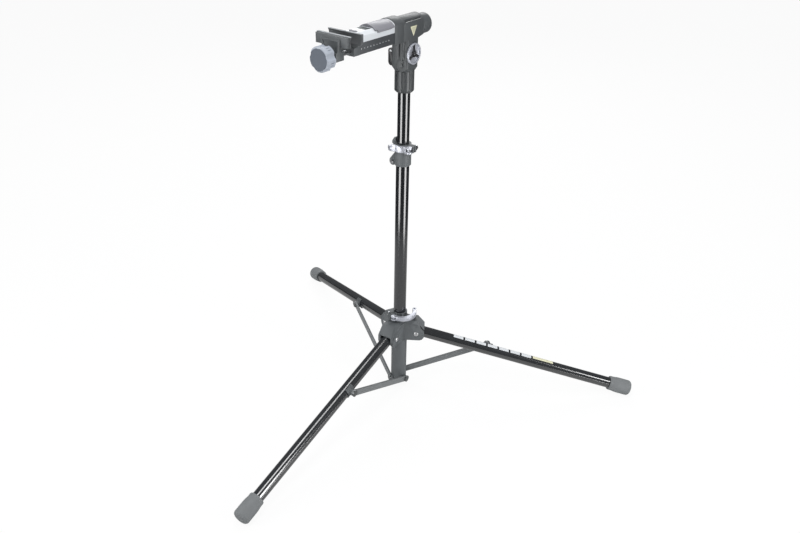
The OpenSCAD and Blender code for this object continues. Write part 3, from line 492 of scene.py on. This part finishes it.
def pick(piece, test, kind="faces"):
    """Selects the faces, edges or vertices that pass a test."""
    mesh = bmesh.from_edit_mesh(piece.data)
    bpy.ops.mesh.select_all(action="DESELECT")
    for item in getattr(mesh, kind):
        item.select_set(bool(test(item)))
    mesh.select_flush_mode()
    bmesh.update_edit_mesh(piece.data)


def outward(piece):
    """Joins doubled vertices and turns all faces outward."""
    with editing(piece):
        bpy.ops.mesh.select_all(action="SELECT")
        bpy.ops.mesh.remove_doubles(threshold=1e-6)
        bpy.ops.mesh.normals_make_consistent(inside=False)


def turned(name, rings, sides=40, place=Matrix()):
    """A lathe-turned solid along +Z from (height, radius) rings, put at a place."""
    deselect()
    height, radius = rings[0]
    bpy.ops.mesh.primitive_circle_add(
        vertices=sides, radius=radius, fill_type="NGON", location=(0, 0, height))
    piece = fix_place(name)
    with editing(piece):
        bpy.ops.mesh.select_all(action="SELECT")
        for (start, first), (end, second) in zip(rings, rings[1:]):
            bpy.ops.mesh.extrude_region_move(
                TRANSFORM_OT_translate={"value": (0, 0, end - start)})
            if second != first:
                ratio = second / first
                bpy.ops.transform.resize(
                    value=(ratio, ratio, 1), center_override=(0, 0, end))
    outward(piece)
    put(piece, place)
    return piece


def put(piece, place):
    """Moves a piece to a place, and the place into its mesh."""
    piece.matrix_world = place
    activate(piece)
    bpy.ops.object.transform_apply(location=True, rotation=True, scale=True)


def along(point, direction, turn=0.0):
    """The place whose +Z runs along a direction from a point."""
    track = Vector(direction).normalized().to_track_quat("Z", "Y").to_matrix().to_4x4()
    return Matrix.Translation(Vector(point)) @ track @ Matrix.Rotation(turn, 4, "Z")


def modifier(piece, kind, **settings):
    """Adds a modifier and applies it."""
    activate(piece)
    made = piece.modifiers.new(kind.lower(), kind)
    for name, value in settings.items():
        setattr(made, name, value)
    bpy.ops.object.modifier_apply(modifier=made.name)


def round_edges(piece, width, segments=2, angle=32.0):
    """Rounds the edges that are sharper than an angle in degrees."""
    modifier(piece, "BEVEL", width=width, segments=segments, limit_method="ANGLE",
             angle_limit=math.radians(angle), use_clamp_overlap=True, harden_normals=False)


def smooth(piece, angle=38.0):
    activate(piece)
    bpy.ops.object.shade_smooth_by_angle(angle=math.radians(angle))


def dress(piece, body, slot, finish=None, smooth_angle=38.0):
    """Smooths a finished piece, gives it its finish and hangs it on a body."""
    smooth(piece, smooth_angle)
    piece.data.materials.clear()
    piece.data.materials.append(FINISHES[finish or slot])
    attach(piece, body)
    return piece


def softened(node, width):
    """A copy of a solid with its edges rounded, which stands for the node."""
    source = NODES[node]
    piece = source.copy()
    piece.data = source.data.copy()
    piece.parent = None
    piece.name = piece.data.name = node + "_rounded"
    bpy.context.collection.objects.link(piece)
    piece.matrix_world = Matrix()
    with editing(piece):
        bpy.ops.mesh.select_all(action="SELECT")
        bpy.ops.mesh.remove_doubles(threshold=0.02 * MM)
        bpy.ops.mesh.dissolve_limited(angle_limit=math.radians(0.6))
    round_edges(piece, width)
    dress(piece, BODY_OF[node], SLOT_OF[node], OWN_FINISH.get(node))
    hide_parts(node)
    return piece


# Node: rounding as a share of the edge size
ROUNDED = {
    "lower_sleeve": 0.8, "collar_body": 0.8, "collar_lever": 0.9, "hub_body": 1.2,
    "hub_lever": 1.0, **{f"leg_bracket_{leg}": 0.6 for leg in LEGS},
    **{f"strut_{leg}": 0.9 for leg in LEGS}, "head_housing": 1.3, "rear_cap": 1.5,
    "lock_lever": 1.2, "tension_ring": 0.9, "tension_nut": 0.4, "bezel": 1.4,
    "arm_beam": 0.9, "guide_block": 0.9, "scale_housing": 0.9, "rear_jaw": 0.8,
    "jaw_carriage": 0.9, "battery_lid": 0.7, "scale_button": 0.5, "front_pad": 0.5,
    "rear_pad": 0.5, "collar_washer": 0.4,
}


def leg_place(leg):
    """The place at a leg's pivot: X across the leg, Y up from it, Z along it."""
    pivot = Vector(JOINTS[f"leg_{leg}_fold"]["pos_m"])
    out = Vector((pivot.x, pivot.y, 0)).normalized()
    direction = out * math.cos(LEG_SLOPE) - Z * math.sin(LEG_SLOPE)
    up = out * math.sin(LEG_SLOPE) + Z * math.cos(LEG_SLOPE)
    place = Matrix((direction.cross(up), up, direction)).transposed().to_4x4()
    place.translation = pivot
    return place


# ---- operators ----

class StandOperator:
    """Runs the build of one group of pieces."""
    bl_options = {"REGISTER", "UNDO"}

    def execute(self, context):
        self.build()
        return {"FINISHED"}


class STAND_OT_finishes(StandOperator, bpy.types.Operator):
    """Give every solid of the stand its own finish"""
    bl_idname = "stand.finishes"
    bl_label = "Finishes"

    def build(self):
        make_finishes()
        for node, item in NODES.items():
            item.data.materials.clear()
            item.data.materials.append(FINISHES[OWN_FINISH.get(node, SLOT_OF[node])])


class STAND_OT_rounded_mouldings(StandOperator, bpy.types.Operator):
    """Round the edges of the mouldings, levers and struts"""
    bl_idname = "stand.rounded_mouldings"
    bl_label = "Rounded mouldings"

    def build(self):
        for node, share in ROUNDED.items():
            softened(node, sizes().edge * share)


class STAND_OT_neck_sleeve(StandOperator, bpy.types.Operator):
    """Model the fluted sleeve below the head"""
    bl_idname = "stand.neck_sleeve"
    bl_label = "Neck sleeve"

    def build(self):
        low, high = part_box("neck_sleeve")
        radius = (high[0] - low[0]) / 2
        tube_low, tube_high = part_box("upper_tube")
        bore = (tube_high[0] - tube_low[0]) / 2 + 0.4 * MM
        chamfer, flute_depth = 4 * MM, 2 * MM
        sides = 2 * sizes().flutes
        rings = [(low[2], radius - chamfer), (low[2] + chamfer, radius), (high[2], radius)]
        piece = turned("neck_sleeve_fluted", rings, sides)
        step = math.tau / sides
        with editing(piece):
            def flute(face):
                middle = face.calc_center_median()
                around = math.atan2(middle.y, middle.x) % math.tau
                return (abs(face.normal.z) < 0.1 and middle.z > low[2] + chamfer
                        and int(around / step) % 2 == 0)
            pick(piece, flute)
            bpy.ops.mesh.inset(thickness=0.9 * MM, use_individual=True)
            bpy.ops.transform.shrink_fatten(value=-flute_depth)
            pick(piece, lambda face: face.normal.z < -0.9)
            bpy.ops.mesh.inset(thickness=radius - chamfer - bore)
            bpy.ops.mesh.extrude_region_move(
                TRANSFORM_OT_translate={"value": (0, 0, 3 * MM)})
        round_edges(piece, 0.6 * MM, 3, 20)
        dress(piece, "mast", "dark_plastic", "sleeve_nylon")
        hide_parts("neck_sleeve")


class STAND_OT_feet(StandOperator, bpy.types.Operator):
    """Model the three smooth rubber feet"""
    bl_idname = "stand.feet"
    bl_label = "Feet"

    def build(self):
        # Along the leg from its pivot: the foot's mouth, its widest part and its round nose
        start, end = 546 * MM, 606 * MM
        radius, nose = LEG_RADIUS + 6 * MM, 8 * MM
        mouth = LEG_RADIUS + 3.75 * MM
        rings = [(start, mouth - 1.2 * MM), (start, mouth), (start + 2 * MM, mouth + 0.6 * MM),
                 (start + 10 * MM, radius - 1.6 * MM), (start + 18 * MM, radius - 0.5 * MM),
                 (start + 26 * MM, radius), (start + 44 * MM, radius)]
        for step in range(7):
            angle = math.pi / 2 * step / 6
            rings.append((end - nose + nose * math.sin(angle),
                          radius - nose + nose * math.cos(angle)))
        rings.append((end, 4 * MM))
        for leg in LEGS:
            at = leg_place(leg)
            piece = turned(f"foot_{leg}_smooth", rings, 56,
                           along(at.translation, at.to_3x3() @ Z))
            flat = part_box(f"foot_{leg}")[0][2]
            with editing(piece, "VERT"):
                pick(piece, lambda vertex: vertex.co.z < flat, "verts")
                mesh = bmesh.from_edit_mesh(piece.data)
                for vertex in mesh.verts:
                    if vertex.select:
                        vertex.co.z = flat
                bmesh.update_edit_mesh(piece.data)
            dress(piece, f"leg_{leg}", "foot_rubber", smooth_angle=50)
            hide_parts(f"foot_{leg}")


class STAND_OT_pin_heads(StandOperator, bpy.types.Operator):
    """Put domed heads on the hub's pins"""
    bl_idname = "stand.pin_heads"
    bl_label = "Pin heads"

    def build(self):
        reach, radius, rise = 22.6 * MM, 6 * MM, 1.4 * MM
        rings = [(-0.6 * MM, radius), (rise * 0.3, radius), (rise * 0.65, radius * 0.9),
                 (rise * 0.9, radius * 0.66), (rise, radius * 0.3)]
        for leg in LEGS:
            joint = JOINTS[f"leg_{leg}_fold"]
            axis, pivot = Vector(joint["axis"]), Vector(joint["pos_m"])
            for letter, side in (("a", axis), ("b", -axis)):
                piece = turned(f"hub_pin_head_{leg}_{letter}", rings, 36,
                               along(pivot + side * reach, side))
                round_edges(piece, 0.15 * MM, 2, 30)
                dress(piece, "hub", "bolt_steel", "pin_steel")


class STAND_OT_badge(StandOperator, bpy.types.Operator):
    """Model the bare triangular badge on the head"""
    bl_idname = "stand.badge"
    bl_label = "Badge"

    def build(self):
        radius, sunk = 14.5 * MM, 0.4 * MM
        centre = Vector((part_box("head_housing")[1][0], 0.5 * MM,
                         JOINTS["head_spin"]["pos_m"][2]))
        # The triangle's height runs down the head's side and its face looks along +X
        upright = Matrix(((0, 0, 1, 0), (1, 0, 0, 0), (0, 1, 0, 0), (0, 0, 0, 1)))
        shape = Matrix.Rotation(math.pi, 4, "Z") @ Matrix.Diagonal((0.92, 1.0, 1.0, 1.0))
        for name, scale, lift, corner, finish in (
                ("badge_rim", 1.0, 0.35 * MM, 1.0 * MM, "badge"),
                ("badge_field", 0.74, 0.5 * MM, 0.6 * MM, "badge_field")):
            deselect()
            bpy.ops.mesh.primitive_cylinder_add(
                vertices=3, radius=radius * scale, depth=lift + sunk, location=(0, 0, 0))
            piece = fix_place(name)
            put(piece, Matrix.Translation(centre + X * (lift - sunk) / 2) @ upright @ shape)
            round_edges(piece, corner, 3, 70)
            outward(piece)
            dress(piece, "mast", "scale_white", finish)


class STAND_OT_head_groove_shade_and_highlight(StandOperator, bpy.types.Operator):
    """Lay a black block in the groove of the head as painted shade, and a bright strip on its lip
    as a painted highlight
    """
    bl_idname = "stand.head_trim"
    bl_label = "Head trim"

    def build(self):
        low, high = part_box("head_housing")
        side = high[0] - 2.5 * MM
        front, back = low[1] + 8.2 * MM, high[1] - 8.2 * MM
        floor = high[2] - 11.5 * MM
        # The black block is painted shade in the groove; the bright steel strip is a painted
        # highlight along its lip.
        for name, start, end, slot, finish in (
                ("groove_liner", (side - 3.9 * MM, front, floor - 0.3 * MM),
                 (side - 0.1 * MM, back, floor + 0.5 * MM), "black_plastic", "black_plastic"),
                ("groove_strip", (side + 0.05 * MM, front + 1 * MM, floor),
                 (side + 0.95 * MM, back - 1 * MM, floor + 2.75 * MM), "lever_silver",
                 "pin_steel")):
            piece = block(name, start, end)
            round_edges(piece, 0.22 * MM, 2, 40)
            dress(piece, "mast", slot, finish)


class STAND_OT_beam_marks(StandOperator, bpy.types.Operator):
    """Model the row of pale marks along the clamp beam"""
    bl_idname = "stand.beam_marks"
    bl_label = "Beam marks"

    def build(self):
        low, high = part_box("arm_beam")
        own = sizes()
        first, last = low[1] + 3.9 * MM, high[1] - 20 * MM
        height = low[2] + 11.5 * MM
        sunk, proud = 0.5 * MM, 0.15 * MM
        for side, inner, outer in (("right", high[0] - sunk, high[0] + proud),
                                   ("left", low[0] - proud, low[0] + sunk)):
            for index in range(own.mark_count):
                at = first + (last - first) * index / (own.mark_count - 1)
                half = own.mark / 2 * (1.35 if index % 3 == 0 else 1.0)
                piece = block(f"beam_mark_{side}_{index}",
                              (inner, at - own.mark / 2, height - half),
                              (outer, at + own.mark / 2, height + half))
                round_edges(piece, 0.3 * MM, 2, 40)
                dress(piece, "arm", "scale_white", "marking")


class STAND_OT_hand_wheel(StandOperator, bpy.types.Operator):
    """Model the lobed hand wheel with its panels and threaded clamp screw"""
    bl_idname = "stand.hand_wheel"
    bl_label = "Hand wheel"

    def build(self):
        low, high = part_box("knob")
        centre = Vector(JOINTS["knob_spin"]["pos_m"])
        front, cut = low[1], centre.y + 0.2 * MM
        reach = (high[0] - low[0]) / 2
        depth, scoop = sizes().lobe_depth, 11 * MM
        lobes = 5
        piece = softened("knob", 0.2 * MM)
        with editing(piece):
            bpy.ops.mesh.select_all(action="SELECT")
            bpy.ops.mesh.bisect(plane_co=(0, cut, 0), plane_no=(0, 1, 0), clear_outer=True,
                                use_fill=True)
        for lobe in range(lobes):
            angle = math.pi / 2 + math.tau * lobe / lobes
            out = Vector((math.cos(angle), 0, math.sin(angle)))
            deselect()
            bpy.ops.mesh.primitive_cylinder_add(
                vertices=64, radius=scoop, depth=80 * MM, rotation=(math.pi / 2, 0, 0),
                location=centre + out * (reach + scoop - depth))
            cutter = fix_place("wheel_cutter")
            modifier(piece, "BOOLEAN", operation="DIFFERENCE", solver="EXACT", object=cutter)
            bpy.data.objects.remove(cutter)
        with editing(piece):
            bpy.ops.mesh.select_all(action="SELECT")
            bpy.ops.mesh.dissolve_limited(angle_limit=math.radians(0.6))
        round_edges(piece, 1.6 * MM, 4, 40)
        with editing(piece):
            pick(piece, lambda face: face.normal.y < -0.99
                 and face.calc_center_median().y < front + 0.3 * MM)
            bpy.ops.mesh.duplicate()
            bpy.ops.mesh.separate(type="SELECTED")
        face = next(item for item in bpy.context.selected_objects if item != piece)
        face.name = face.data.name = "wheel_face_plate"
        face.modifiers.clear()
        with editing(face):
            bpy.ops.mesh.select_all(action="SELECT")
            bpy.ops.transform.resize(value=(0.97, 1, 0.97), center_override=centre)
            bpy.ops.transform.translate(value=(0, -0.1 * MM, 0))
        modifier(face, "SOLIDIFY", thickness=0.5 * MM, offset=0)
        dress(piece, "screw_knob", "knob_grey")
        dress(face, "screw_knob", "knob_grey", "wheel_face")
        for lobe in range(lobes):
            angle = -math.pi / 2 + math.tau * lobe / lobes
            out = Vector((math.cos(angle), 0, math.sin(angle)))
            side = out.cross(Y)
            panel = block(f"wheel_slot_{lobe}", (-3.6 * MM, -5.0 * MM, -1.2 * MM),
                          (3.6 * MM, 5.0 * MM, 0.25 * MM))
            round_edges(panel, 0.5 * MM, 3, 50)
            middle = centre + out * (reach - 0.35 * MM)
            middle.y = (centre.y + front) / 2 + 1.5 * MM
            place = Matrix((side, Y, out)).transposed().to_4x4()
            place.translation = middle
            put(panel, place)
            outward(panel)
            dress(panel, "screw_knob", "knob_grey", "wheel_face")
        self.screw(centre, high[1], cut)

    def screw(self, centre, back, cut):
        """The clamp screw: a boss, a core and a helical thread."""
        crest, root, pitch = 3.5 * MM, 2.9 * MM, 4 * MM
        boss, boss_end = 11 * MM, 5.5 * MM
        start = along((centre.x, cut, centre.z), Y)
        reach = back - cut
        core = turned("clamp_screw_core", [
            (-0.4 * MM, boss), (boss_end, boss), (boss_end, root),
            (reach - 1 * MM, root), (reach, root - 0.8 * MM)], 32, start)
        dress(core, "screw_knob", "bolt_steel")
        deselect()
        bpy.ops.mesh.primitive_circle_add(vertices=4, radius=1.0 * MM, fill_type="NOTHING")
        thread = fix_place("clamp_screw_thread")
        shape = Matrix(((0.9, 0, 0, crest - 0.9 * MM), (0, 0, -1, 0), (0, 1.3, 0, 0), (0, 0, 0, 1)))
        put(thread, shape)
        turns = int((reach - 10 * MM) / pitch)
        modifier(thread, "SCREW", axis="Z", angle=math.tau, screw_offset=pitch,
                 iterations=turns, steps=20, render_steps=20)
        with editing(thread, "EDGE"):
            bpy.ops.mesh.select_all(action="SELECT")
            bpy.ops.mesh.region_to_loop()
            bpy.ops.mesh.edge_face_add()
        outward(thread)
        put(thread, start @ Matrix.Translation((0, 0, 7 * MM)))
        dress(thread, "screw_knob", "bolt_steel")


class STAND_OT_leg_stripes(StandOperator, bpy.types.Operator):
    """Model plain pale stripes along the top of the right leg"""
    bl_idname = "stand.leg_stripes"
    bl_label = "Leg stripes"

    def build(self):
        place = leg_place("right")
        # Millimetres along the leg from its pivot, and degrees to each side of its top
        count, first, last, gap = sizes().stripe_count, 100, 318, 5
        step = (last - first + gap) / count
        stripes = [(first + step * index, first + step * (index + 1) - gap, 26, "marking")
                   for index in range(count)]
        stripes.append((last + gap, 380, 20, "badge"))
        for index, (start, end, half_turn, finish) in enumerate(stripes):
            deselect()
            bpy.ops.mesh.primitive_cylinder_add(
                vertices=120, radius=LEG_RADIUS + 0.12 * MM, depth=(end - start) * MM,
                location=(0, 0, (start + end) / 2 * MM), end_fill_type="NOTHING")
            piece = fix_place(f"leg_stripe_{index}")
            limit = math.cos(math.radians(half_turn))
            with editing(piece):
                pick(piece, lambda face: face.normal.y < limit)
                bpy.ops.mesh.delete(type="FACE")
            modifier(piece, "SOLIDIFY", thickness=0.3 * MM, offset=-1)
            put(piece, place)
            dress(piece, "leg_right", "scale_white", finish)


class STAND_OT_stage(StandOperator, bpy.types.Operator):
    """Add the floor, the studio lights, the surroundings and the camera"""
    bl_idname = "stand.stage"
    bl_label = "Stage"

    def lamp(self, name, location, target, size, size_y, power):
        """A rectangular lamp that looks at a target."""
        data = bpy.data.lights.new(name, "AREA")
        data.shape = "RECTANGLE"
        data.size, data.size_y, data.energy = size, size_y, power
        item = bpy.data.objects.new(name, data)
        bpy.context.collection.objects.link(item)
        aim = Vector(target) - Vector(location)
        item.matrix_world = (Matrix.Translation(Vector(location))
                             @ aim.to_track_quat("-Z", "Y").to_matrix().to_4x4())

    def surroundings(self):
        """Plain white to the camera, a dim room to reflections and a soft fill to the rest."""
        room = Surroundings("studio")
        bpy.context.scene.world = room.material
        white, dim, fill = (
            room.add("ShaderNodeBackground", None, {"Color": tone, "Strength": strength})
            for tone, strength in (
                ((1, 1, 1), 1.0), ((0.94, 0.97, 1), 0.16), ((0.95, 0.97, 1), 0.42)))
        camera = room.add("ShaderNodeLightPath", out="Is Camera Ray")
        through = room.add("ShaderNodeLightPath", out="Is Transmission Ray")
        glossy = room.add("ShaderNodeLightPath", out="Is Glossy Ray")
        unseen = room.add("ShaderNodeMixShader", None, {0: glossy, 1: fill, 2: dim})
        room.output(room.add(
            "ShaderNodeMixShader", None, {0: (camera + through).clamp(), 1: unseen, 2: white}))

    def floor(self):
        """Pale to the eye; to glossy rays it glows as painted light in two bright panels and a dull
        middle.
        """
        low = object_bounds()[0]
        deselect()
        bpy.ops.mesh.primitive_plane_add(size=60, location=(0, 0, low[2] - 0.05 * MM))
        floor = fix_place("floor")
        surface = Surface("pale floor")
        cloud = surface.noise(3, 2, 0.5)
        tone = surface.mix(cloud, (0.88, 0.88, 0.88), (0.92, 0.92, 0.92))
        across, deep = surface.axis("X"), surface.axis("Y")
        away = (across * across + deep * deep).power(0.5)
        around, half_width = deep.angle_to(across), 0.27
        # Painted light: the panels and the dull middle glow only to glossy rays, and show in
        # reflections like lamps.
        left = around.near(math.radians(-97), half_width) * away.ramp(0.90, 1.10)
        right = around.near(math.radians(1), half_width) * away.ramp(0.80, 1.00)
        glow_panels = left + right
        middle = 1.0 - away.ramp(0.75, 1.05)
        glow_level = glow_panels + middle * 0.09 + 0.008
        diffuse = surface.add("ShaderNodeBsdfDiffuse", None, {"Color": tone})
        white = surface.add("ShaderNodeEmission", None, {"Color": (1, 1, 1), "Strength": 1.0})
        reflected_glow = surface.add("ShaderNodeEmission", None, {"Color": glow_level, "Strength": 6.0})
        camera = surface.add("ShaderNodeLightPath", out="Is Camera Ray")
        glossy = surface.add("ShaderNodeLightPath", out="Is Glossy Ray")
        seen = surface.add(
            "ShaderNodeMixShader", None, {0: camera * 0.93, 1: diffuse, 2: white})
        surface.output(surface.add(
            "ShaderNodeMixShader", None, {0: glossy, 1: seen, 2: reflected_glow}))
        floor.data.materials.append(surface.material)
        floor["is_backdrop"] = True

    def camera(self):
        """Three-quarter view from above the front foot, turned, tilted and rolled in degrees."""
        heading, tilt, roll = 37.05065, 60.44649, 1.11563
        data = bpy.data.cameras.new("camera")
        data.sensor_fit = "HORIZONTAL"
        data.sensor_width = 36.0
        data.lens = 36.99
        data.clip_end = 50.0
        camera = bpy.data.objects.new("camera", data)
        bpy.context.collection.objects.link(camera)
        place = Matrix.Translation((1.09928, -1.45879, 1.39090))
        for angle, about in ((heading, "Z"), (tilt, "X"), (roll, "Z")):
            place = place @ Matrix.Rotation(math.radians(angle), 4, about)
        camera.matrix_world = place
        bpy.context.scene.camera = camera

    def build(self):
        self.surroundings()
        self.floor()
        self.camera()
        centre = (0, 0, 0.5)
        self.lamp("overhead", (0.1, -0.5, 2.6), centre, 0.8, 2.4, 30)
        self.lamp("left strip", (-1.3, -2.4, 1.3), centre, 0.45, 2.2, 26)
        self.lamp("right strip", (2.7, 0.1, 1.2), centre, 0.45, 2.2, 34)
        self.lamp("back fill", (-1.6, 2.2, 2.3), centre, 1.6, 1.2, 38)
        bpy.context.scene.view_settings.view_transform = "Standard"


class STAND_PT_panel(bpy.types.Panel):
    """Lists the stand's pieces"""
    bl_idname = "STAND_PT_panel"
    bl_label = "Bicycle Repair Stand"
    bl_space_type = "VIEW_3D"
    bl_region_type = "UI"
    bl_category = "Repair Stand"

    def draw(self, context):
        for step in STEPS:
            self.layout.operator(step.bl_idname)
        for group in (context.scene.stand_colours, context.scene.stand_sizes):
            box = self.layout.box()
            for name in group.__annotations__:
                box.prop(group, name)


STEPS = (
    STAND_OT_finishes, STAND_OT_rounded_mouldings, STAND_OT_neck_sleeve, STAND_OT_feet,
    STAND_OT_pin_heads, STAND_OT_badge, STAND_OT_head_groove_shade_and_highlight, STAND_OT_beam_marks,
    STAND_OT_hand_wheel, STAND_OT_leg_stripes, STAND_OT_stage,
)
CLASSES = (StandColours, StandSizes, *STEPS, STAND_PT_panel)


def register():
    for item in CLASSES:
        bpy.utils.register_class(item)
    bpy.types.Scene.stand_colours = bpy.props.PointerProperty(type=StandColours)
    bpy.types.Scene.stand_sizes = bpy.props.PointerProperty(type=StandSizes)


def unregister():
    del bpy.types.Scene.stand_sizes
    del bpy.types.Scene.stand_colours
    for item in reversed(CLASSES):
        bpy.utils.unregister_class(item)


def main():
    """Builds the stand step by step."""
    register()
    for step in STEPS:
        group, name = step.bl_idname.split(".")
        getattr(getattr(bpy.ops, group), name)()


if __name__ == "__main__":
    main()
